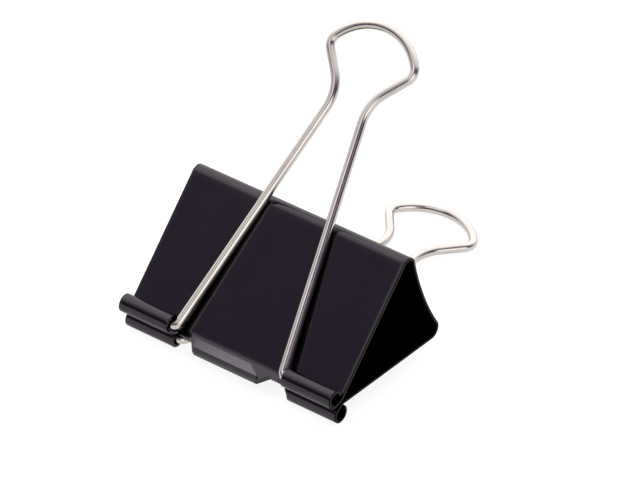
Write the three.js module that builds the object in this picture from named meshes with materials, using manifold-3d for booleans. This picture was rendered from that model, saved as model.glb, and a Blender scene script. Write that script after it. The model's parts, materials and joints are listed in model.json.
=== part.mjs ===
// Foldback (binder) clip: a folded spring-steel body and two bent-wire handles.
//
// Units are millimetres. The clip lies on its rear side as on a table top: the rear handle is flat
// on it, under the body, and the front handle leans back on the front corner of the spine.
//
// Clip axes, used for every shape below:
//   x  across the clip, along the rolled jaw edges
//   y  in the middle plane between the jaws, from the jaw edges towards the spine
//   z  out of the middle plane, towards the front jaw
// The whole clip is then tilted about x, so that it rests on its rear curls and rear handle.

import * as THREE from 'three';
import { mergeVertices } from 'three/addons/utils/BufferGeometryUtils.js';
import Module from 'manifold-3d';

const wasm = await Module();
wasm.setup();

const DEG = Math.PI / 180;

// ---------------------------------------------------------------- driving dimensions

const WIDTH = 41;                   // along the jaw edges
const SHEET = 0.45;                 // spring-steel thickness
const WIRE_RADIUS = 0.75;
const GAP = 0.3;                    // clearance between parts that touch on the real clip

const CURL_RADIUS = 1.52;           // outside of the rolled jaw edge
const CURL_HEIGHT = 1.89;           // curl axis above the middle plane
const CURL_END_ANGLE = 288;         // how far round the edge is rolled
const CURL_INNER_END = 11.3;        // x where the curls stop, beside the handle legs
const CURL_SLANT = 1.1;             // the side facing the other jaw reaches this much further in
const TAB_END = 8.95;               // on the right that side also carries a rounded tab
const TAB_HALF = 0.7;
const LAND_CORNER = 1;              // y where the flat grip land and the wall would meet
const LAND_BEND_RADIUS = 1.5;       // middle surface, between the wall and the rolled edge

const LAND_EDGE = -0.4;             // y of the land's edge in the notches beside its tongue
const TONGUE_ROOT = 7.6;            // the tongue between the notches, half its width at the root
const TONGUE_TIP = 6.15;            // and along its free edge
const TONGUE_LENGTH = 1.7;
const LIP_FLARE = 16;               // the front land also carries a lip that stands off its tongue
const LIP_BEND_RADIUS = 0.7;
const LIP_BEND_Y = 0.1;
const LIP_LENGTH = 1.6;
const LIP_CUT_START = 3.7;          // x of the slanted cut at the lip's right end, at the bend

const WALL_ANGLE = 24.1;            // each wall to the middle plane, degrees
const CORNER_RADIUS = 1.64;         // outside of the two spine corners
const CORNER_Y = 22.15;             // corner axis, which is also where the sheet flexes
const SPINE_BOW = 0.67;             // how far the spine is hollow between its corners
const JAW_CORNER_SHARE = 21;        // degrees of the corner arc that belong to the jaw
const FLEX_SLOT = 37;               // degrees of the corner arc left open for the jaw's travel

const LEG_HALF = 10.25;             // handle legs at the curl axis, half the distance between them
const ELBOW_RADIUS = 0.95;
const PIN_END = 16.5;               // x where the pin ends inside its curl
const NECK_HALF = 2.9;
const NECK_HEIGHT = 43.2;           // along the handle, from the curl axis
const NECK_RADIUS = 6.9;
const SHOULDER_HALF = 8.06;
const SHOULDER_HEIGHT = 49.5;
const SHOULDER_RADIUS = 1.9;
const LOOP_RADIUS = 9.18;           // the wide arc over the top of the loop
const HANDLE_LENGTH = 54.95;        // curl axis to the middle of the loop's wire
const REAR_HANDLE_OPEN = 2;         // the rear handle stands off its spine corner, degrees

const ARC_STEP = 12;                // degrees per facet on tight bends
const WIRE_SIDES = 12;

// ---------------------------------------------------------------- values that follow

const CURL_MIDDLE = CURL_RADIUS - SHEET / 2;
const CORNER_MIDDLE = CORNER_RADIUS - SHEET / 2;
const LAND_HEIGHT = GAP / 2 + SHEET / 2;
const LAND_OVERLAP = SHEET / 2;     // how far the land reaches into the wall's foot

// The wall's middle surface runs from the land's corner to the spine corner.
const wallDirection = new THREE.Vector2(Math.cos(WALL_ANGLE * DEG), Math.sin(WALL_ANGLE * DEG));
const wallNormal = new THREE.Vector2(-wallDirection.y, wallDirection.x);
const wallRun = (CORNER_Y + CORNER_MIDDLE * wallNormal.x - LAND_CORNER) / wallDirection.x;
const CORNER_HEIGHT = LAND_HEIGHT + wallRun * wallDirection.y - CORNER_MIDDLE * wallNormal.y;

// Beside the land the sheet runs straight from the land's corner until it touches the roll.
const rootSpan = new THREE.Vector2(LAND_CORNER, CURL_HEIGHT - LAND_HEIGHT);
const ROOT_ANGLE = (rootSpan.angle() - Math.asin(CURL_MIDDLE / rootSpan.length())) / DEG;
const ROOT_RUN = Math.sqrt(rootSpan.lengthSq() - CURL_MIDDLE ** 2);

// The spine is hollow: one large arc whose centre lies outside the clip.
const spineDrop = CORNER_RADIUS - SPINE_BOW;
const SPINE_RADIUS = (spineDrop ** 2 + CORNER_HEIGHT ** 2 - CORNER_RADIUS ** 2) / (2 * SPINE_BOW);
const SPINE_HALF_ANGLE = Math.atan2(CORNER_HEIGHT, SPINE_RADIUS + spineDrop) / DEG;

// The front handle leans on its spine corner. The table touches the rear curls and the rear loop.
const cornerFromCurl = new THREE.Vector2(CORNER_Y, CORNER_HEIGHT - CURL_HEIGHT);
const LEAN = Math.atan2(cornerFromCurl.y, cornerFromCurl.x)
  + Math.asin((CORNER_RADIUS + WIRE_RADIUS + GAP) / cornerFromCurl.length());
const REAR_LEAN = LEAN + REAR_HANDLE_OPEN * DEG;
const TILT = REAR_LEAN - Math.asin((CURL_RADIUS - WIRE_RADIUS) / HANDLE_LENGTH);

// ---------------------------------------------------------------- shape helpers

/** Stations along the sheet's middle surface. A move is a straight run or a bend, left positive. */
function walk(start, moves) {
  let { y, z, heading } = start;
  const stations = [{ y, z, heading }];
  for (const move of moves) {
    if (move.run !== undefined) {
      y += move.run * Math.cos(heading * DEG);
      z += move.run * Math.sin(heading * DEG);
      stations.push({ y, z, heading });
      continue;
    }
    const steps = Math.max(1, Math.ceil(Math.abs(move.bend) / ARC_STEP), move.steps ?? 1);
    const turn = move.bend / steps;
    const chord = 2 * move.radius * Math.sin(Math.abs(turn) * DEG / 2);
    for (let i = 0; i < steps; i++) {
      y += chord * Math.cos((heading + turn / 2) * DEG);
      z += chord * Math.sin((heading + turn / 2) * DEG);
      heading += turn;
      stations.push({ y, z, heading });
    }
  }
  return stations;
}

/** The sheet's outline: the stations moved half a thickness to the left and to the right. */
function sheetOutline(stations) {
  const side = (offset) => stations.map(({ y, z, heading }) => new THREE.Vector2(
    y - offset * Math.sin(heading * DEG),
    z + offset * Math.cos(heading * DEG),
  ));
  return new THREE.Shape([...side(-SHEET / 2), ...side(SHEET / 2).reverse()]);
}

/** Extrudes a shape drawn in the y-z plane across the clip, from x = from to x = to. */
function acrossClip(shape, from, to) {
  const geometry = new THREE.ExtrudeGeometry(shape, { depth: to - from, bevelEnabled: false });
  const axes = new THREE.Matrix4().makeBasis(
    new THREE.Vector3(0, 1, 0),
    new THREE.Vector3(0, 0, 1),
    new THREE.Vector3(1, 0, 0),
  );
  return geometry.applyMatrix4(axes).translate(from, 0, 0);
}

function toSolid(geometry) {
  const bare = geometry.clone();
  bare.deleteAttribute('normal');
  bare.deleteAttribute('uv');
  const merged = mergeVertices(bare);
  return new wasm.Manifold(new wasm.Mesh({
    numProp: 3,
    vertProperties: new Float32Array(merged.attributes.position.array),
    triVerts: new Uint32Array(merged.index.array),
  }));
}

function toGeometry(solid) {
  const mesh = solid.getMesh();
  const geometry = new THREE.BufferGeometry();
  geometry.setAttribute('position', new THREE.BufferAttribute(mesh.vertProperties, 3));
  geometry.setIndex(new THREE.BufferAttribute(mesh.triVerts, 1));
  geometry.computeVertexNormals();
  return geometry;
}

/** Points round a bend between two straights that would meet at corner. */
function roundedCorner(before, corner, after, radius) {
  const inward = new THREE.Vector2().subVectors(corner, before).normalize();
  const outward = new THREE.Vector2().subVectors(after, corner).normalize();
  const turn = Math.atan2(inward.cross(outward), inward.dot(outward));
  const side = Math.sign(turn);
  const start = corner.clone().addScaledVector(inward, -radius * Math.tan(Math.abs(turn) / 2));
  const centre = start.clone().add(new THREE.Vector2(-inward.y, inward.x).multiplyScalar(radius * side));
  return arcPoints(centre, radius, start.clone().sub(centre).angle(), turn);
}

function arcPoints(centre, radius, startAngle, turn) {
  const steps = Math.max(2, Math.ceil(Math.abs(turn) / (ARC_STEP * DEG)));
  const points = [];
  for (let i = 0; i <= steps; i++) {
    const angle = startAngle + turn * i / steps;
    points.push(new THREE.Vector2(
      centre.x + radius * Math.cos(angle),
      centre.y + radius * Math.sin(angle),
    ));
  }
  return points;
}

/** A centre line through stations that keep their own spacing, short in bends and long in straights. */
class StationCurve extends THREE.Curve {
  constructor(stations) {
    super();
    this.stations = stations;
  }

  getPoint(t, target = new THREE.Vector3()) {
    const place = t * (this.stations.length - 1);
    const index = Math.min(Math.floor(place), this.stations.length - 2);
    return target.lerpVectors(this.stations[index], this.stations[index + 1], place - index);
  }

  getPointAt(u, target) {
    return this.getPoint(u, target);
  }

  getTangentAt(u, target = new THREE.Vector3()) {
    const last = this.stations.length - 1;
    const index = Math.round(u * last);
    const next = this.stations[Math.min(index + 1, last)];
    const previous = this.stations[Math.max(index - 1, 0)];
    return target.subVectors(next, previous).normalize();
  }
}

// ---------------------------------------------------------------- spring-steel body

/** A jaw: rolled edge, grip land with its tongue, wall, and the jaw's share of the spine corner. */
function jawGeometry(hasLip) {
  const start = {
    y: -CURL_MIDDLE * Math.sin(CURL_END_ANGLE * DEG),
    z: CURL_HEIGHT - CURL_MIDDLE * Math.cos(CURL_END_ANGLE * DEG),
    heading: -CURL_END_ANGLE,
  };
  const bendCut = LAND_BEND_RADIUS * Math.tan((ROOT_ANGLE + WALL_ANGLE) * DEG / 2);
  const stations = walk(start, [
    { bend: CURL_END_ANGLE - ROOT_ANGLE, radius: CURL_MIDDLE },
    { run: ROOT_RUN - bendCut },
    { bend: ROOT_ANGLE + WALL_ANGLE, radius: LAND_BEND_RADIUS },
    { run: wallRun - bendCut },
    { bend: -JAW_CORNER_SHARE, radius: CORNER_MIDDLE },
  ]);
  const sheet = toSolid(acrossClip(sheetOutline(stations), -WIDTH / 2, WIDTH / 2));
  const sideParts = sheet.subtract(edgeCutter());
  const land = hasLip ? landSolid().add(lipSolid()) : landSolid();
  return toGeometry(sideParts.add(land));
}

/** Takes the rolled edge away between the curls, up to the land, and shapes the curls' inner ends. */
function edgeCutter() {
  const reach = 5;
  const nearSide = CURL_HEIGHT - CURL_RADIUS;
  const slantTop = CURL_HEIGHT - GAP;
  const slanted = new THREE.Shape([
    new THREE.Vector2(-CURL_INNER_END, slantTop),
    new THREE.Vector2(-CURL_INNER_END + CURL_SLANT, nearSide),
    new THREE.Vector2(-CURL_INNER_END + CURL_SLANT, -reach),
    new THREE.Vector2(CURL_INNER_END - CURL_SLANT, -reach),
    new THREE.Vector2(CURL_INNER_END - CURL_SLANT, nearSide),
    new THREE.Vector2(CURL_INNER_END, slantTop),
    new THREE.Vector2(CURL_INNER_END, reach),
    new THREE.Vector2(-CURL_INNER_END, reach),
  ]);
  const geometry = new THREE.ExtrudeGeometry(slanted, { depth: reach + LAND_CORNER, bevelEnabled: false });
  geometry.rotateX(Math.PI / 2).translate(0, LAND_CORNER, 0);

  // The end of the roll hangs down behind the curl axis, above the wall's foot.
  const rollEnd = new THREE.BoxGeometry(2 * CURL_INNER_END, 2 * CURL_RADIUS, 2 * CURL_RADIUS);
  rollEnd.translate(0, GAP, CURL_HEIGHT + CURL_RADIUS - CURL_MIDDLE / 2);
  return toSolid(geometry).subtract(tabSolid()).add(toSolid(rollEnd));
}

/** The room of the right curl's rounded tab: the part of the roll that faces the other jaw. */
function tabSolid() {
  const shape = new THREE.Shape();
  shape.moveTo(CURL_INNER_END, TAB_HALF);
  shape.lineTo(TAB_END + TAB_HALF, TAB_HALF);
  shape.absarc(TAB_END + TAB_HALF, 0, TAB_HALF, Math.PI / 2, 3 * Math.PI / 2, false);
  shape.lineTo(CURL_INNER_END, -TAB_HALF);
  return toSolid(new THREE.ExtrudeGeometry(shape, {
    depth: CURL_HEIGHT,
    curveSegments: WIRE_SIDES,
    bevelEnabled: false,
  }));
}

/** The flat land between the curls, down to its tongue's free edge. */
function landSolid() {
  const tipY = LAND_EDGE - TONGUE_LENGTH;
  const outline = [
    [-CURL_INNER_END, LAND_EDGE],
    [-TONGUE_ROOT, LAND_EDGE],
    [-TONGUE_TIP, tipY],
    [TONGUE_TIP, tipY],
    [TONGUE_ROOT, LAND_EDGE],
    [CURL_INNER_END, LAND_EDGE],
    [CURL_INNER_END, LAND_CORNER + LAND_OVERLAP],
    [-CURL_INNER_END, LAND_CORNER + LAND_OVERLAP],
  ];
  return landStrip([{ run: LAND_CORNER + LAND_OVERLAP - tipY }]).intersect(planSolid(outline));
}

/** The lip: it leaves the land at its bend and ends on the right in a slanted cut. */
function lipSolid() {
  const bendCut = LIP_BEND_RADIUS * Math.tan(LIP_FLARE * DEG / 2);
  const edgeY = LIP_BEND_Y - LIP_LENGTH * Math.cos(LIP_FLARE * DEG);
  const outline = [
    [-TONGUE_ROOT, LAND_CORNER],
    [-TONGUE_ROOT, LIP_BEND_Y],
    [-TONGUE_TIP, edgeY - LIP_BEND_RADIUS],
    [TONGUE_TIP, edgeY - LIP_BEND_RADIUS],
    [TONGUE_TIP, edgeY],
    [LIP_CUT_START, LIP_BEND_Y],
    [LIP_CUT_START, LAND_CORNER],
  ];
  return landStrip([
    { run: LAND_CORNER + LAND_OVERLAP - LIP_BEND_Y - bendCut },
    { bend: -LIP_FLARE, radius: LIP_BEND_RADIUS, steps: 4 },
    { run: LIP_LENGTH - bendCut },
  ]).intersect(planSolid(outline));
}

/** A strip of sheet across the whole land that starts inside the wall's foot and heads outwards. */
function landStrip(moves) {
  const stations = walk({ y: LAND_CORNER + LAND_OVERLAP, z: LAND_HEIGHT, heading: 180 }, moves);
  return toSolid(acrossClip(sheetOutline(stations), -CURL_INNER_END, CURL_INNER_END));
}

/** An outline drawn in the x-y plane, raised far enough to hold a whole land. */
function planSolid(points) {
  const shape = new THREE.Shape(points.map(([x, y]) => new THREE.Vector2(x, y)));
  return toSolid(new THREE.ExtrudeGeometry(shape, { depth: CURL_HEIGHT, bevelEnabled: false }));
}

/** The hollow spine with the rest of both corner arcs. */
function spineGeometry() {
  const firstAngle = 90 + WALL_ANGLE - JAW_CORNER_SHARE - FLEX_SLOT;
  const cornerTurn = firstAngle + SPINE_HALF_ANGLE;
  const start = {
    y: CORNER_Y + CORNER_MIDDLE * Math.cos(firstAngle * DEG),
    z: CORNER_HEIGHT + CORNER_MIDDLE * Math.sin(firstAngle * DEG),
    heading: firstAngle - 90,
  };
  const stations = walk(start, [
    { bend: -cornerTurn, radius: CORNER_MIDDLE },
    { bend: 2 * SPINE_HALF_ANGLE, radius: SPINE_RADIUS + SHEET / 2, steps: 8 },
    { bend: -cornerTurn, radius: CORNER_MIDDLE },
  ]);
  return acrossClip(sheetOutline(stations), -WIDTH / 2, WIDTH / 2);
}

// ---------------------------------------------------------------- wire handles

/** Half of the handle's centre line, from the end of a pin to the middle of the loop. */
function halfHandleLine() {
  const pin = new THREE.Vector2(PIN_END, 0);
  const elbow = new THREE.Vector2(LEG_HALF, 0);
  const neck = new THREE.Vector2(NECK_HALF, NECK_HEIGHT);
  const shoulder = new THREE.Vector2(SHOULDER_HALF, SHOULDER_HEIGHT);
  const flare = new THREE.Vector2().subVectors(shoulder, neck).normalize();
  const flareInside = new THREE.Vector2(-flare.y, flare.x);

  // The shoulder's arc touches the flare from inside and the wide loop arc from inside.
  const loopCentre = new THREE.Vector2(0, HANDLE_LENGTH - LOOP_RADIUS);
  const base = neck.clone().addScaledVector(flareInside, SHOULDER_RADIUS).sub(loopCentre);
  const along = base.dot(flare);
  const reach = (LOOP_RADIUS - SHOULDER_RADIUS) ** 2 - base.lengthSq() + along ** 2;
  const centre = base.addScaledVector(flare, Math.sqrt(reach) - along).add(loopCentre);
  const shoulderStart = flareInside.clone().negate().angle() - 2 * Math.PI;
  const shoulderEnd = centre.clone().sub(loopCentre).angle();

  return [
    pin,
    ...roundedCorner(pin, elbow, neck, ELBOW_RADIUS),
    ...roundedCorner(elbow, neck, shoulder, NECK_RADIUS),
    ...arcPoints(centre, SHOULDER_RADIUS, shoulderStart, shoulderEnd - shoulderStart),
    ...arcPoints(loopCentre, LOOP_RADIUS, shoulderEnd, Math.PI / 2 - shoulderEnd).slice(1),
  ];
}

/** The bent wire, drawn in the x-y plane with its pins on the x axis. */
function handleGeometry() {
  const half = halfHandleLine();
  const mirrored = half.slice(0, -1).reverse().map((point) => new THREE.Vector2(-point.x, point.y));
  const stations = [...half, ...mirrored].map((point) => new THREE.Vector3(point.x, point.y, 0));
  const section = new THREE.Shape();
  section.absarc(0, 0, WIRE_RADIUS, 0, 2 * Math.PI, false);
  return new THREE.ExtrudeGeometry(section, {
    steps: stations.length - 1,
    curveSegments: WIRE_SIDES,
    extrudePath: new StationCurve(stations),
  });
}

// ---------------------------------------------------------------- assembly

const blackLacquer = () => new THREE.MeshStandardMaterial({
  color: 0x2b262c, roughness: 0.35, metalness: 0.1,
});
const nickelWire = () => new THREE.MeshStandardMaterial({
  color: 0xcfcac6, roughness: 0.2, metalness: 1,
});

function namedMesh(name, geometry, material) {
  const mesh = new THREE.Mesh(geometry, material);
  mesh.name = name;
  return mesh;
}

const handle = handleGeometry();

/** One half of the clip: a jaw with its handle folded back towards the spine. */
function clipHalf(prefix, hasLip, lean) {
  const half = new THREE.Group();
  half.add(namedMesh(`${prefix}_jaw`, jawGeometry(hasLip), blackLacquer()));
  const lever = namedMesh(`${prefix}_handle`, handle, nickelWire());
  lever.position.z = CURL_HEIGHT;
  lever.rotation.x = lean;
  half.add(lever);
  return half;
}

// The rear half is turned half a turn about the clip's y axis.
const rearHalf = clipHalf('rear', false, REAR_LEAN);
rearHalf.rotation.y = Math.PI;

const clip = new THREE.Group();
clip.add(clipHalf('front', true, LEAN), rearHalf, namedMesh('spine', spineGeometry(), blackLacquer()));

// Tilt onto the table and put the origin under the middle of the whole clip.
clip.rotation.x = TILT;
const part = new THREE.Group();
part.add(clip);
part.updateMatrixWorld(true);
const extent = new THREE.Box3().setFromObject(part, true);
clip.position.set(0, -(extent.min.y + extent.max.y) / 2, -extent.min.z);

export default part;
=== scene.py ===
"""Looks of a foldback binder clip: a black lacquered spring-steel body and two nickel-plated wire handles."""

import json
import math

import bmesh
import bpy
from mathutils import Matrix, Vector


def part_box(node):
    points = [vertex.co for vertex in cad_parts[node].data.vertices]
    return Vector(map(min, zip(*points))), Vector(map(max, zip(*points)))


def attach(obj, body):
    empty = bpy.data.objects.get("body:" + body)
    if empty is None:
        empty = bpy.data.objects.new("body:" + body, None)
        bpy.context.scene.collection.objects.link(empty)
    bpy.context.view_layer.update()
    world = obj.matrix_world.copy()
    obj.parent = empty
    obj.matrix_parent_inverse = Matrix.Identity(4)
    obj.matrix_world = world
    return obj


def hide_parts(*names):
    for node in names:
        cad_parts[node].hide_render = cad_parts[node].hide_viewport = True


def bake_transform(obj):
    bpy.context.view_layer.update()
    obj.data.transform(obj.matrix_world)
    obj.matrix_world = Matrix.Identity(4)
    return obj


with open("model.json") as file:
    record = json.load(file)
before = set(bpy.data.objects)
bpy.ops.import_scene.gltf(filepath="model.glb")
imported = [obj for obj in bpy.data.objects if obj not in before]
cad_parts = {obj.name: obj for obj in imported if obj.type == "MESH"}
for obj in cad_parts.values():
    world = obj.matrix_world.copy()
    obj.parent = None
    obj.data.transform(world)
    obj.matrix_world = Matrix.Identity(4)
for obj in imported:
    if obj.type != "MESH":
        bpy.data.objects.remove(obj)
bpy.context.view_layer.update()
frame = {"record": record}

MM = 0.001

# ---------------------------------------------------------------- clip axes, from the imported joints
# x runs along the jaw edges, y from the jaws to the spine in the middle plane, z towards the front.

JOINTS = {joint["name"]: joint for joint in frame["record"]["behaviour"]["joints"]}


def joint_place(name):
    return Vector(JOINTS[name]["pos_m"])


FRONT_CURL = joint_place("front_handle_turn")
REAR_CURL = joint_place("rear_handle_turn")
FRONT_CORNER = joint_place("front_corner_flex")
REAR_CORNER = joint_place("rear_corner_flex")

AXIS_X = Vector((1, 0, 0))
AXIS_Z = (FRONT_CURL - REAR_CURL).normalized()
AXIS_Y = AXIS_Z.cross(AXIS_X)
ORIGIN = (FRONT_CURL + REAR_CURL) / 2

FROM_CLIP = Matrix((
    (AXIS_X.x, AXIS_Y.x, AXIS_Z.x, ORIGIN.x),
    (AXIS_X.y, AXIS_Y.y, AXIS_Z.y, ORIGIN.y),
    (AXIS_X.z, AXIS_Y.z, AXIS_Z.z, ORIGIN.z),
    (0, 0, 0, 1),
))
HALF_TURN = Matrix.Rotation(math.pi, 4, "Y")

CURL_HEIGHT = (FRONT_CURL - REAR_CURL).length / 2 / MM
CORNER_HEIGHT = (FRONT_CORNER - REAR_CORNER).length / 2 / MM
CORNER_Y = (FRONT_CORNER - ORIGIN).dot(AXIS_Y) / MM
HALF_WIDTH = (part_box("front_jaw")[1][0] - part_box("front_jaw")[0][0]) / 2 / MM

# ---------------------------------------------------------------- dimensions, in millimetres

SHEET = 0.45
EDGE_ROUND = 0.09                   # on the sheet's sheared edges
CURL_RADIUS = 1.52                  # outside of the rolled jaw edge
CURL_TURN = 288                     # how far round the edge is rolled, degrees
LAND_CORNER = 1                     # y where the wall would meet the roll's root
LAND_BEND_RADIUS = 2
ROLL_BEND_RADIUS = 1.5
FOOT_GAP = 0.3                      # between the two walls at LAND_CORNER
LAND_GAP = 0.05                     # between the flat lands, which touch on the real clip
WALL_ANGLE = 24.1                   # each wall to the middle plane, degrees
CORNER_RADIUS = 1.64                # outside of the spine corners
SPINE_BOW = 0.67                    # how far the spine is hollow between them

LAND_EDGE = -0.4                    # y of the land's edge in the notches beside its tongue
TONGUE_ROOT = 7.6                   # half the tongue's width at its root
TONGUE_TIP = 6.15                   # and along its free edge
TONGUE_LENGTH = 1.7
LIP_FLARE = 16                      # the front tongue's raised lip, degrees
LIP_BEND_RADIUS = 0.7
LIP_BEND_Y = 0.1
LIP_LENGTH = 1.6
LIP_CUT_START = 3.7                 # x where the slanted cut at its right end starts
LIP_STEP = (0.05, 0.5, 1)           # places down the slope from its edge to the tongue

WIRE_RADIUS = 0.75
WIRE_SIDES = 28
WIRE_SPACING = 1.0
PIN_CHAMFER = 0.14
LEG_HALF = 10.25                    # legs at the curl axis, half the distance between them
ELBOW_RADIUS = 1.05
PIN_END = 16.5
NECK_HALF, NECK_HEIGHT, NECK_RADIUS = 2.9, 43.2, 6.9
SHOULDER_HALF, SHOULDER_HEIGHT, SHOULDER_RADIUS = 8.06, 49.5, 1.9
LOOP_RADIUS = 9.18
HANDLE_LENGTH = 54.95
HANDLE_GAP = 0.02                   # between the front handle and the corner it leans on
REAR_HANDLE_OPEN = 2.7              # the rear handle stands off its corner, degrees

# Inner ends of the rolled edges. They start on the side that faces the other jaw and are cut back
# from there, so that a leg can swing past them. The right one first has a rounded tab.
LEG_CLEAR = LEG_HALF + WIRE_RADIUS + 0.12
LEFT_CURL_START = 9.96
LEFT_CUT_TURN = 60                  # degrees of roll until the left one is clear
RIGHT_CURL_START = 9.95
RIGHT_CUT_RUN = 0.45                # millimetres of roll until the right one is clear
TAB_END = 8.95
TAB_MIDDLE = 0.85                   # along the sheet from the wall's foot
TAB_HALF = 1.05

# ---------------------------------------------------------------- sheet profile, in the clip's y-z plane


def turned(point, angle, radius, steps):
    """Stations round a bend from point = (y, z, heading). The angle is in degrees, left positive."""
    y, z, heading = point
    stations = []
    step = angle / steps
    chord = 2 * radius * math.sin(math.radians(abs(step)) / 2)
    for _ in range(steps):
        middle = math.radians(heading + step / 2)
        y += chord * math.cos(middle)
        z += chord * math.sin(middle)
        heading += step
        stations.append((y, z, heading))
    return stations


def straight(point, length, steps):
    y, z, heading = point
    a = math.radians(heading)
    return [
        (y + length * i / steps * math.cos(a), z + length * i / steps * math.sin(a), heading)
        for i in range(1, steps + 1)
    ]


def sheet_profile():
    """The front half's middle surface as a common run, roll, land and tongue, then the lip's top."""
    curl = CURL_RADIUS - SHEET / 2
    corner = CORNER_RADIUS - SHEET / 2
    foot_height = FOOT_GAP / 2 + SHEET / 2
    land_height = LAND_GAP / 2 + SHEET / 2
    wall = math.radians(WALL_ANGLE)
    land_drop = (foot_height - land_height) / math.sin(wall)

    drop = CORNER_RADIUS - SPINE_BOW
    bow = (drop**2 + CORNER_HEIGHT**2 - CORNER_RADIUS**2) / (2 * SPINE_BOW)
    bow_half = math.degrees(math.atan2(CORNER_HEIGHT, bow + drop))
    wall_run = (CORNER_Y - corner * math.sin(wall) - LAND_CORNER) / math.cos(wall)
    root_span = math.hypot(LAND_CORNER, CURL_HEIGHT - foot_height)
    root_angle = math.degrees(
        math.atan2(CURL_HEIGHT - foot_height, LAND_CORNER) - math.asin(curl / root_span)
    )
    root_run = math.sqrt(root_span**2 - curl**2)
    roll_cut = ROLL_BEND_RADIUS * math.tan(math.radians(root_angle + WALL_ANGLE) / 2)
    land_cut = LAND_BEND_RADIUS * math.tan(wall / 2)
    lip_cut = LIP_BEND_RADIUS * math.tan(math.radians(LIP_FLARE) / 2)

    start = (CORNER_Y + CORNER_RADIUS - SPINE_BOW - SHEET / 2, 0, 90)
    common = [start]
    common += turned(start, -bow_half, bow + SHEET / 2, steps=14)
    common += turned(common[-1], bow_half + 90 + WALL_ANGLE, corner, steps=22)
    common += straight(common[-1], wall_run - roll_cut, steps=24)

    roll = turned(common[-1], -WALL_ANGLE - root_angle, ROLL_BEND_RADIUS, steps=10)
    roll += straight(roll[-1], root_run - roll_cut, steps=3)
    roll += turned(roll[-1], root_angle - CURL_TURN, curl, steps=60)

    land = straight(common[-1], roll_cut + land_drop - land_cut, steps=1)
    land += turned(land[-1], -WALL_ANGLE, LAND_BEND_RADIUS, steps=8)
    land += straight(land[-1], land[-1][0] - LAND_EDGE, steps=5)
    tongue = straight(land[-1], TONGUE_LENGTH, steps=6)

    lip = [(LIP_BEND_Y + lip_cut, land_height + SHEET / 2, 180)]
    lip += turned(lip[0], -LIP_FLARE, LIP_BEND_RADIUS, steps=6)
    lip += straight(lip[-1], LIP_LENGTH - lip_cut, steps=6)
    y, z = lip[-1][:2]
    drop_to_tongue = z - land_height - SHEET / 4
    lip += [(y - drop_to_tongue * t, z - drop_to_tongue * t, 225) for t in LIP_STEP]
    return common, roll, land, tongue, lip


def run_length(stations, start):
    """Length along the sheet of every station, from start."""
    lengths = []
    length = 0
    y, z = start[:2]
    for station in stations:
        length += math.hypot(station[0] - y, station[1] - z)
        y, z = station[:2]
        lengths.append(length)
    return lengths


def mix(a, b, t):
    t = min(max(t, 0), 1)
    return a + (b - a) * t


def left_curl_end(turn):
    """x of the left curl's inner end, after so many degrees of roll."""
    return -mix(LEFT_CURL_START, LEG_CLEAR, turn / LEFT_CUT_TURN)


def right_curl_end(s):
    """x of the right curl's inner end, after so many millimetres of sheet from the wall's foot."""
    past_tab = s - TAB_MIDDLE - TAB_HALF
    if past_tab < 0:
        across = min(abs(s - TAB_MIDDLE) / TAB_HALF, 1)
        rounding = 1 - math.sqrt(1 - across**2)
        return TAB_END + (RIGHT_CURL_START - TAB_END) * rounding
    return mix(RIGHT_CURL_START, LEG_CLEAR, past_tab / RIGHT_CUT_RUN)


# ---------------------------------------------------------------- sheet mesh

CURL_CELLS, NOTCH_CELLS, TONGUE_CELLS = 14, 6, 30
SLIT = 0.05                         # between the land and the rolled edges beside it
SHARP_EDGE = math.radians(50)


def spread(a, b, cells):
    return [a + (b - a) * i / cells for i in range(cells + 1)]


def sheet_patches():
    """Columns, the common run, the patches below it and the lip.

    A patch is (first column, rows of (x list, station), inner patches).
    """
    common, roll, land, tongue, lip = sheet_profile()
    left_end, right_end = left_curl_end(0), right_curl_end(0)
    middle = spread(left_end, -TONGUE_ROOT, NOTCH_CELLS)
    middle += spread(-TONGUE_ROOT, TONGUE_ROOT, TONGUE_CELLS)[1:]
    middle += spread(TONGUE_ROOT, right_end, NOTCH_CELLS)[1:]
    columns = spread(-HALF_WIDTH, left_end, CURL_CELLS) + middle[1:]
    columns += spread(right_end, HALF_WIDTH, CURL_CELLS)[1:]

    left_rows = []
    right_rows = []
    for station, s in zip(roll, run_length(roll, common[-1])):
        turn = max(common[-1][2] - WALL_ANGLE - station[2], 0)
        left_rows.append((spread(-HALF_WIDTH, left_curl_end(turn), CURL_CELLS), station))
        right_rows.append((spread(right_curl_end(s), HALF_WIDTH, CURL_CELLS), station))

    inside = [left_end + SLIT] + middle[1:-1] + [right_end - SLIT]
    tongue_rows = []
    for i, station in enumerate(tongue):
        half = mix(TONGUE_ROOT, TONGUE_TIP, (i + 1) / len(tongue))
        tongue_rows.append((spread(-half, half, TONGUE_CELLS), station))
    patches = [
        (0, left_rows, []),
        (CURL_CELLS, [(inside, station) for station in land], [(NOTCH_CELLS, tongue_rows, [])]),
        (CURL_CELLS + len(middle) - 1, right_rows, []),
    ]

    lip_rows = []
    for station, s in zip(lip, run_length(lip, lip[0])):
        t = min(s / LIP_LENGTH, 1)
        ends = mix(-TONGUE_ROOT, -TONGUE_TIP, t), mix(LIP_CUT_START, TONGUE_TIP, t)
        lip_rows.append((spread(*ends, TONGUE_CELLS), station))
    return columns, common, patches, lip_rows


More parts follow.
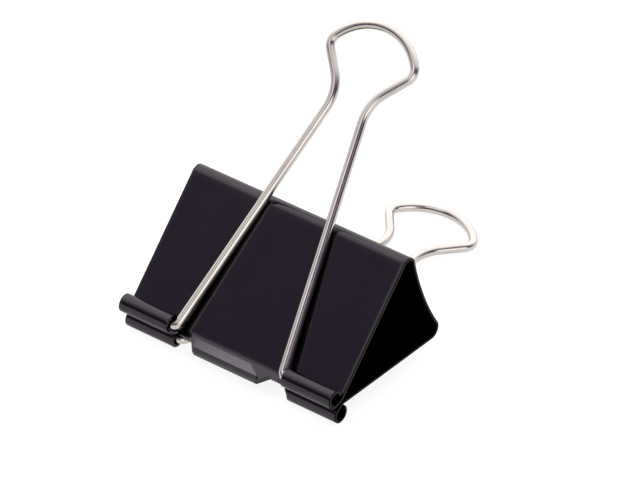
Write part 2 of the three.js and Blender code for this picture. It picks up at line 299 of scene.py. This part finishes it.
def build_sheet(name, has_lip, turn_over):
    """A closed sheet body for one half of the clip, with rolled edge, tongue and lip.

    Its faces carry a painted light value: 1 on the lip's top, a painted highlight that lightens it, below 0
    on its slanted cut, a painted shade.
    """
    columns, common, patches, lip_rows = sheet_patches()
    mesh = bmesh.new()
    # A face value of painted light: painted highlight on the lip's top, painted shade on its slanted cut.
    painted_light = mesh.faces.layers.float.new("painted_light")

    def pair(x, station):
        y, z, heading = station
        a = math.radians(heading)
        ny, nz = math.sin(a), -math.cos(a)
        h = SHEET / 2
        outer = mesh.verts.new((x, y + ny * h, z + nz * h))
        inner = mesh.verts.new((x, y - ny * h, z - nz * h))
        return outer, inner

    def fill(upper, lower, painted_level=0.0):
        for i in range(len(upper) - 1):
            a, b, c, d = upper[i], upper[i + 1], lower[i + 1], lower[i]
            mesh.faces.new((a[0], b[0], c[0], d[0]))[painted_light] = painted_level
            mesh.faces.new((d[1], c[1], b[1], a[1]))
            link(a, b)
            link(b, c)
            link(c, d)
            link(d, a)

    sides = {}

    def link(a, b):
        key = frozenset((a[0], b[0]))
        if key in sides:
            sides[key] = None
        else:
            sides[key] = (a, b)

    previous = [pair(x, common[0]) for x in columns]
    first = previous
    for station in common[1:]:
        row = [pair(x, station) for x in columns]
        fill(previous, row)
        previous = row

    def grow(parent_row, patch):
        start, rows, inner = patch
        above = parent_row[start:start + len(rows[0][0])]
        for xs, station in rows:
            row = [pair(x, station) for x in xs]
            fill(above, row)
            above = row
        for deeper in inner:
            grow(above, deeper)

    for patch in patches:
        grow(previous, patch)
    cut_side = set()
    if has_lip:
        root = LAND_GAP / 2 + SHEET / 2
        tops = [
            [(mesh.verts.new((x, y, z)), mesh.verts.new((x, y, root))) for x in xs]
            for xs, (y, z, _) in lip_rows
        ]
        # The lip's top rows get the painted highlight; the rows stepping down to the tongue do not.
        highlight_rows = len(tops) - len(LIP_STEP) - 1
        for i, (upper, lower) in enumerate(zip(tops, tops[1:])):
            fill(upper, lower, 1.0 if i < highlight_rows else 0.0)
        cut_side = {row[-1][0] for row in tops}

    split = {vertex for pairs in first for vertex in pairs}
    rims = []
    for ends in sides.values():
        if ends is None:
            continue
        a, b = ends
        side = mesh.faces.new((b[0], a[0], a[1], b[1]))
        # The side faces along the lip's slanted cut get painted shade.
        if a[0] in cut_side and b[0] in cut_side:
            side[painted_light] = -0.5
        if a[0] in split and b[0] in split:
            continue
        rims.append(mesh.edges.get((a[0], b[0])))
        rims.append(mesh.edges.get((a[1], b[1])))
    corners = [
        edge for edge in mesh.edges
        if len(edge.link_faces) == 2 and edge not in rims
        and not (edge.verts[0] in split and edge.verts[1] in split)
        and edge.calc_face_angle(0) > SHARP_EDGE
    ]
    bmesh.ops.recalc_face_normals(mesh, faces=mesh.faces)
    bmesh.ops.bevel(
        mesh, geom=rims + corners, offset=EDGE_ROUND, offset_type="OFFSET", segments=3,
        profile=0.5, affect="EDGES", clamp_overlap=True,
    )
    for face in mesh.faces:
        face.smooth = True
    matrix = FROM_CLIP @ (HALF_TURN if turn_over else Matrix()) @ Matrix.Scale(MM, 4)
    bmesh.ops.transform(mesh, matrix=matrix, verts=mesh.verts)
    bmesh.ops.recalc_face_normals(mesh, faces=mesh.faces)
    return finish_mesh(name, mesh)


def finish_mesh(name, mesh):
    data = bpy.data.meshes.new(name)
    mesh.to_mesh(data)
    mesh.free()
    data.set_sharp_from_angle(angle=SHARP_EDGE)
    piece = bpy.data.objects.new(name, data)
    bpy.context.scene.collection.objects.link(piece)
    return piece


# ---------------------------------------------------------------- wire handles


def bend_between(before, corner, after, radius, steps):
    """Points round a bend between two straights that would meet at corner."""
    inward = (corner - before).normalized()
    outward = (after - corner).normalized()
    turn = math.atan2(inward.x * outward.y - inward.y * outward.x, inward.dot(outward))
    start = corner - inward * radius * math.tan(abs(turn) / 2)
    side = math.copysign(1, turn)
    centre = start + Vector((-inward.y, inward.x)) * radius * side
    first = math.atan2(start.y - centre.y, start.x - centre.x)
    return arc_points(centre, radius, first, turn, steps)


def arc_points(centre, radius, first, turn, steps):
    return [
        centre + radius * Vector((math.cos(first + turn * i / steps), math.sin(first + turn * i / steps)))
        for i in range(steps + 1)
    ]


def half_handle():
    """Half of the handle's centre line, from the pin's end to the middle of the loop."""
    pin = Vector((PIN_END, 0))
    elbow = Vector((LEG_HALF, 0))
    neck = Vector((NECK_HALF, NECK_HEIGHT))
    shoulder = Vector((SHOULDER_HALF, SHOULDER_HEIGHT))
    flare = (shoulder - neck).normalized()
    inside = Vector((-flare.y, flare.x))
    loop_centre = Vector((0, HANDLE_LENGTH - LOOP_RADIUS))
    base = neck + inside * SHOULDER_RADIUS - loop_centre
    along = base.dot(flare)
    reach = (LOOP_RADIUS - SHOULDER_RADIUS) ** 2 - base.length_squared + along**2
    centre = base + flare * (math.sqrt(reach) - along) + loop_centre
    first = math.atan2(-inside.y, -inside.x)
    last = math.atan2(centre.y - loop_centre.y, centre.x - loop_centre.x)
    points = [pin]
    points += bend_between(pin, elbow, neck, ELBOW_RADIUS, 14)
    points += bend_between(elbow, neck, shoulder, NECK_RADIUS, 16)
    points += arc_points(centre, SHOULDER_RADIUS, first, last - first, 18)
    points += arc_points(loop_centre, LOOP_RADIUS, last, math.pi / 2 - last, 22)[1:]
    return points


def resampled(points, spacing):
    """The same line with extra points, so that no straight is longer than spacing."""
    dense = [points[0]]
    for point in points[1:]:
        span = point - dense[-1]
        start = dense[-1].copy()
        pieces = max(1, round(span.length / spacing))
        dense += [start + span * i / pieces for i in range(1, pieces + 1)]
    return dense


def build_handle(name, turn_over, lean):
    """A round wire along the handle's line. Its UV runs along the wire and once round it."""
    half = resampled(half_handle(), WIRE_SPACING)
    line = half + [Vector((-p.x, p.y)) for p in reversed(half[:-1])]
    mesh = bmesh.new()
    layer = mesh.loops.layers.uv.new("along")
    rings = []
    travelled = []
    length = 0
    for i, point in enumerate(line):
        before = line[max(i - 1, 0)]
        after = line[min(i + 1, len(line) - 1)]
        along = (after - before).normalized()
        across = Vector((along.y, -along.x))
        ring = []
        for k in range(WIRE_SIDES):
            a = 2 * math.pi * k / WIRE_SIDES
            flat = point + across * WIRE_RADIUS * math.cos(a)
            ring.append(mesh.verts.new((flat.x, flat.y, WIRE_RADIUS * math.sin(a))))
        rings.append(ring)
        length += (point - before).length if i else 0
        travelled.append(length)
    for i in range(len(rings) - 1):
        for k in range(WIRE_SIDES):
            n = (k + 1) % WIRE_SIDES
            face = mesh.faces.new((rings[i][k], rings[i][n], rings[i + 1][n], rings[i + 1][k]))
            places = (
                (travelled[i], k), (travelled[i], k + 1),
                (travelled[i + 1], k + 1), (travelled[i + 1], k),
            )
            for loop, (u, v) in zip(face.loops, places):
                loop[layer].uv = (u / 10, v / WIRE_SIDES)
    caps = [mesh.faces.new(list(reversed(rings[0]))), mesh.faces.new(rings[-1])]
    rims = [edge for cap in caps for edge in cap.edges]
    bmesh.ops.bevel(
        mesh, geom=rims, offset=PIN_CHAMFER, offset_type="OFFSET", segments=2,
        profile=0.5, affect="EDGES", clamp_overlap=True,
    )
    for face in mesh.faces:
        face.smooth = True
    place = Matrix.Translation((0, 0, CURL_HEIGHT)) @ Matrix.Rotation(lean, 4, "X")
    turn = HALF_TURN if turn_over else Matrix()
    matrix = FROM_CLIP @ turn @ Matrix.Scale(MM, 4) @ place
    bmesh.ops.transform(mesh, matrix=matrix, verts=mesh.verts)
    bmesh.ops.recalc_face_normals(mesh, faces=mesh.faces)
    return finish_mesh(name, mesh)


# ---------------------------------------------------------------- materials


def new_material(name):
    material = bpy.data.materials.new(name)
    material.use_nodes = True
    nodes = material.node_tree.nodes
    return material, nodes, material.node_tree.links, nodes["Principled BSDF"]


def noise(nodes, links, vector, scale, detail=2.0, roughness=0.5):
    node = nodes.new("ShaderNodeTexNoise")
    node.inputs["Scale"].default_value = scale
    node.inputs["Detail"].default_value = detail
    node.inputs["Roughness"].default_value = roughness
    links.new(vector, node.inputs["Vector"])
    return node.outputs["Fac"]


def ramp(nodes, links, value, stops):
    node = nodes.new("ShaderNodeValToRGB")
    elements = node.color_ramp.elements
    while len(elements) < len(stops):
        elements.new(0.5)
    for element, (place, colour) in zip(elements, stops):
        element.position = place
        element.color = (*colour, 1)
    links.new(value, node.inputs["Fac"])
    return node.outputs["Color"]


def map_range(nodes, links, value, low, high, to_low, to_high, smooth=False):
    node = nodes.new("ShaderNodeMapRange")
    node.interpolation_type = "SMOOTHSTEP" if smooth else "LINEAR"
    node.inputs["From Min"].default_value = low
    node.inputs["From Max"].default_value = high
    node.inputs["To Min"].default_value = to_low
    node.inputs["To Max"].default_value = to_high
    links.new(value, node.inputs["Value"])
    return node.outputs["Result"]


def bump(nodes, links, height, distance, strength, before=None):
    node = nodes.new("ShaderNodeBump")
    node.inputs["Distance"].default_value = distance
    node.inputs["Strength"].default_value = strength
    links.new(height, node.inputs["Height"])
    if before is not None:
        links.new(before, node.inputs["Normal"])
    return node.outputs["Normal"]


def painted_shade_ends(nodes, links, place, colour):
    """Painted shade: the sheared ends of the strip are darkened, as if they reflected the clip's shadow on
    the floor.
    """
    parts = nodes.new("ShaderNodeSeparateXYZ")
    links.new(place, parts.inputs["Vector"])
    size = nodes.new("ShaderNodeMath")
    size.operation = "ABSOLUTE"
    links.new(parts.outputs["X"], size.inputs[0])
    end = HALF_WIDTH * MM
    end_shade = map_range(nodes, links, size.outputs["Value"], end - 0.0002, end - 0.00008, 1, 0.12)
    mixed = nodes.new("ShaderNodeVectorMath")
    mixed.operation = "SCALE"
    links.new(colour, mixed.inputs[0])
    links.new(end_shade, mixed.inputs["Scale"])
    return mixed.outputs["Vector"]


def lacquer():
    material, nodes, links, shader = new_material("black_lacquer")
    place = nodes.new("ShaderNodeTexCoord").outputs["Object"]
    colour = ramp(nodes, links, noise(nodes, links, place, 180, 4), [
        (0.3, (0.047, 0.042, 0.048)),
        (0.7, (0.053, 0.047, 0.054)),
    ])
    # Painted light from the sheet's face value: the lip's top is lightened to a painted highlight and its
    # slanted cut darkened to painted shade. The same value makes the lip rougher.
    painted_light = nodes.new("ShaderNodeAttribute")
    painted_light.attribute_name = "painted_light"
    painted_level = nodes.new("ShaderNodeVectorMath")
    painted_level.operation = "SCALE"
    links.new(painted_shade_ends(nodes, links, place, colour), painted_level.inputs[0])
    links.new(map_range(nodes, links, painted_light.outputs["Fac"], -0.5, 1, 0.1, 2.8), painted_level.inputs["Scale"])
    links.new(painted_level.outputs["Vector"], shader.inputs["Base Color"])
    gloss = map_range(nodes, links, noise(nodes, links, place, 900, 5, 0.6), 0.3, 0.7, 0.08, 0.13)
    rough = nodes.new("ShaderNodeMath")
    links.new(gloss, rough.inputs[0])
    links.new(map_range(nodes, links, painted_light.outputs["Fac"], 0, 1, 0, 0.3), rough.inputs[1])
    links.new(rough.outputs["Value"], shader.inputs["Roughness"])
    shader.inputs["Metallic"].default_value = 1.0
    shader.inputs["Specular Tint"].default_value = (0.8, 0.8, 0.78, 1.0)
    peel = bump(nodes, links, noise(nodes, links, place, 1500, 2), 0.00001, 0.15)
    waves = bump(nodes, links, noise(nodes, links, place, 200, 1), 0.00004, 0.15, peel)
    links.new(waves, shader.inputs["Normal"])
    return material


def nickel():
    material, nodes, links, shader = new_material("nickel_wire")
    shader.inputs["Metallic"].default_value = 1.0
    coordinates = nodes.new("ShaderNodeTexCoord")
    place = coordinates.outputs["Object"]
    colour = ramp(nodes, links, noise(nodes, links, place, 240, 3), [
        (0.3, (0.50, 0.465, 0.435)),
        (0.7, (0.57, 0.535, 0.50)),
    ])
    links.new(colour, shader.inputs["Base Color"])
    rough = map_range(nodes, links, noise(nodes, links, place, 1200, 4, 0.6), 0.3, 0.7, 0.1, 0.16)
    links.new(rough, shader.inputs["Roughness"])
    stretch = nodes.new("ShaderNodeMapping")
    stretch.inputs["Scale"].default_value = (1, 40, 1)
    links.new(coordinates.outputs["UV"], stretch.inputs["Vector"])
    lines = noise(nodes, links, stretch.outputs["Vector"], 3, 3)
    links.new(bump(nodes, links, lines, 0.000005, 0.1), shader.inputs["Normal"])
    return material


def floor_material():
    material, nodes, links, shader = new_material("pale_floor")
    place = nodes.new("ShaderNodeTexCoord").outputs["Object"]
    colour = ramp(nodes, links, noise(nodes, links, place, 30, 2), [
        (0.3, (0.24, 0.24, 0.24)),
        (0.7, (0.26, 0.26, 0.26)),
    ])
    links.new(colour, shader.inputs["Base Color"])
    shader.inputs["Emission Color"].default_value = (1, 1, 1, 1)
    shader.inputs["Emission Strength"].default_value = 0.86
    shader.inputs["Roughness"].default_value = 0.9
    return material


# ---------------------------------------------------------------- the clip

LACQUER = lacquer()
NICKEL = nickel()

lever = math.hypot(CORNER_Y, CORNER_HEIGHT - CURL_HEIGHT)
LEAN = math.atan2(CORNER_HEIGHT - CURL_HEIGHT, CORNER_Y) + math.asin(
    (CORNER_RADIUS + WIRE_RADIUS + HANDLE_GAP) / lever
)

front_sheet = build_sheet("front_sheet", True, False)
rear_sheet = build_sheet("rear_sheet", False, True)
front_wire = build_handle("front_wire", False, LEAN)
rear_wire = build_handle("rear_wire", True, LEAN + math.radians(REAR_HANDLE_OPEN))

for piece in (front_sheet, rear_sheet):
    piece.data.materials.append(LACQUER)
for piece in (front_wire, rear_wire):
    piece.data.materials.append(NICKEL)


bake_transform(front_sheet)
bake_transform(rear_sheet)
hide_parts("front_jaw", "spine")
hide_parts("rear_jaw")
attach(front_wire, "front_handle")
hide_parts("front_handle")
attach(rear_wire, "rear_handle")
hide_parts("rear_handle")

# ---------------------------------------------------------------- floor, light and camera


def build_floor():
    """A pale table that is level under the clip and falls away in front of the jaws, in metres."""
    reach = 1.2
    edge = REAR_CURL.y - 0.0006
    radius = 0.004
    slope = math.radians(38)
    profile = [(reach, 0.0)]
    steps = 16
    for i in range(steps + 1):
        a = slope * i / steps
        profile.append((edge - radius * math.sin(a), -radius * (1 - math.cos(a))))
    fall = 0.9
    y, z = profile[-1]
    profile.append((y - fall * math.cos(slope), z - fall * math.sin(slope)))
    mesh = bmesh.new()
    rows = [[mesh.verts.new((x, y, z)) for x in (-reach, reach)] for y, z in profile]
    for upper, lower in zip(rows, rows[1:]):
        mesh.faces.new((upper[0], lower[0], lower[1], upper[1])).smooth = True
    bmesh.ops.recalc_face_normals(mesh, faces=mesh.faces)
    return finish_mesh("floor", mesh)


floor = build_floor()
floor.data.materials.append(floor_material())


def towards(azimuth, elevation):
    """Unit vector. Azimuth 0 is in front of the jaws, positive to the right."""
    a, e = math.radians(azimuth), math.radians(elevation)
    return Vector((math.sin(a) * math.cos(e), -math.cos(a) * math.cos(e), math.sin(e)))


def studio_world(base, horizon, panels):
    """A dim, slightly violet studio with white panels over a white horizon.

    A panel is (azimuth, elevation, inner angle, outer angle, radiance) and fades between the angles.
    """
    world = bpy.data.worlds.new("studio")
    world.use_nodes = True
    nodes, links = world.node_tree.nodes, world.node_tree.links
    way = nodes.new("ShaderNodeTexCoord").outputs["Generated"]
    total = None
    for azimuth, elevation, inner, outer, radiance in panels:
        facing = nodes.new("ShaderNodeVectorMath")
        facing.operation = "DOT_PRODUCT"
        facing.inputs[1].default_value = towards(azimuth, elevation)
        links.new(way, facing.inputs[0])
        low, high = math.cos(math.radians(outer)), math.cos(math.radians(inner))
        level = map_range(nodes, links, facing.outputs["Value"], low, high, 0, radiance, True)
        add = nodes.new("ShaderNodeMath")
        add.inputs[1].default_value = base
        links.new(level, add.inputs[0])
        if total is not None:
            links.new(total, add.inputs[1])
        total = add.outputs["Value"]
    parts = nodes.new("ShaderNodeSeparateXYZ")
    links.new(way, parts.inputs["Vector"])
    above = map_range(nodes, links, parts.outputs["Z"], 0.05, 0.2, 0, 1, True)
    blend = nodes.new("ShaderNodeMix")
    blend.inputs["A"].default_value = horizon
    links.new(above, blend.inputs["Factor"])
    links.new(total, blend.inputs["B"])
    level = blend.outputs["Result"]
    links.new(level, nodes["Background"].inputs["Strength"])
    tint = ramp(nodes, links, level, [(0.25, (0.80, 0.62, 1.0)), (0.9, (1, 1, 1))])
    links.new(tint, nodes["Background"].inputs["Color"])
    return world


bpy.context.scene.world = studio_world(0.15, 1.0, [
    (-143, 34, 18, 96, 1.8),
    (50, 15, 18, 33, 1.7),
    (-9, 47, 7, 22, 1.1),
])
bpy.context.scene.view_settings.view_transform = "Standard"

CAMERA_AZIMUTH, CAMERA_ELEVATION, CAMERA_ROLL = 37.073, 34.091, 1.306
CAMERA_AIM = Vector((0.000556, -0.006209, 0.014285))
CAMERA_DISTANCE = 0.95373

camera_data = bpy.data.cameras.new("camera")
camera_data.sensor_width = 36
camera_data.lens = 348.54
camera_data.clip_end = 10
camera = bpy.data.objects.new("camera", camera_data)
back = towards(CAMERA_AZIMUTH, CAMERA_ELEVATION)
turn = back.to_track_quat("Z", "Y").to_matrix().to_4x4()
roll = Matrix.Rotation(math.radians(CAMERA_ROLL), 4, "Z")
camera.matrix_world = Matrix.Translation(CAMERA_AIM + back * CAMERA_DISTANCE) @ turn @ roll
bpy.context.scene.collection.objects.link(camera)
bpy.context.scene.camera = camera
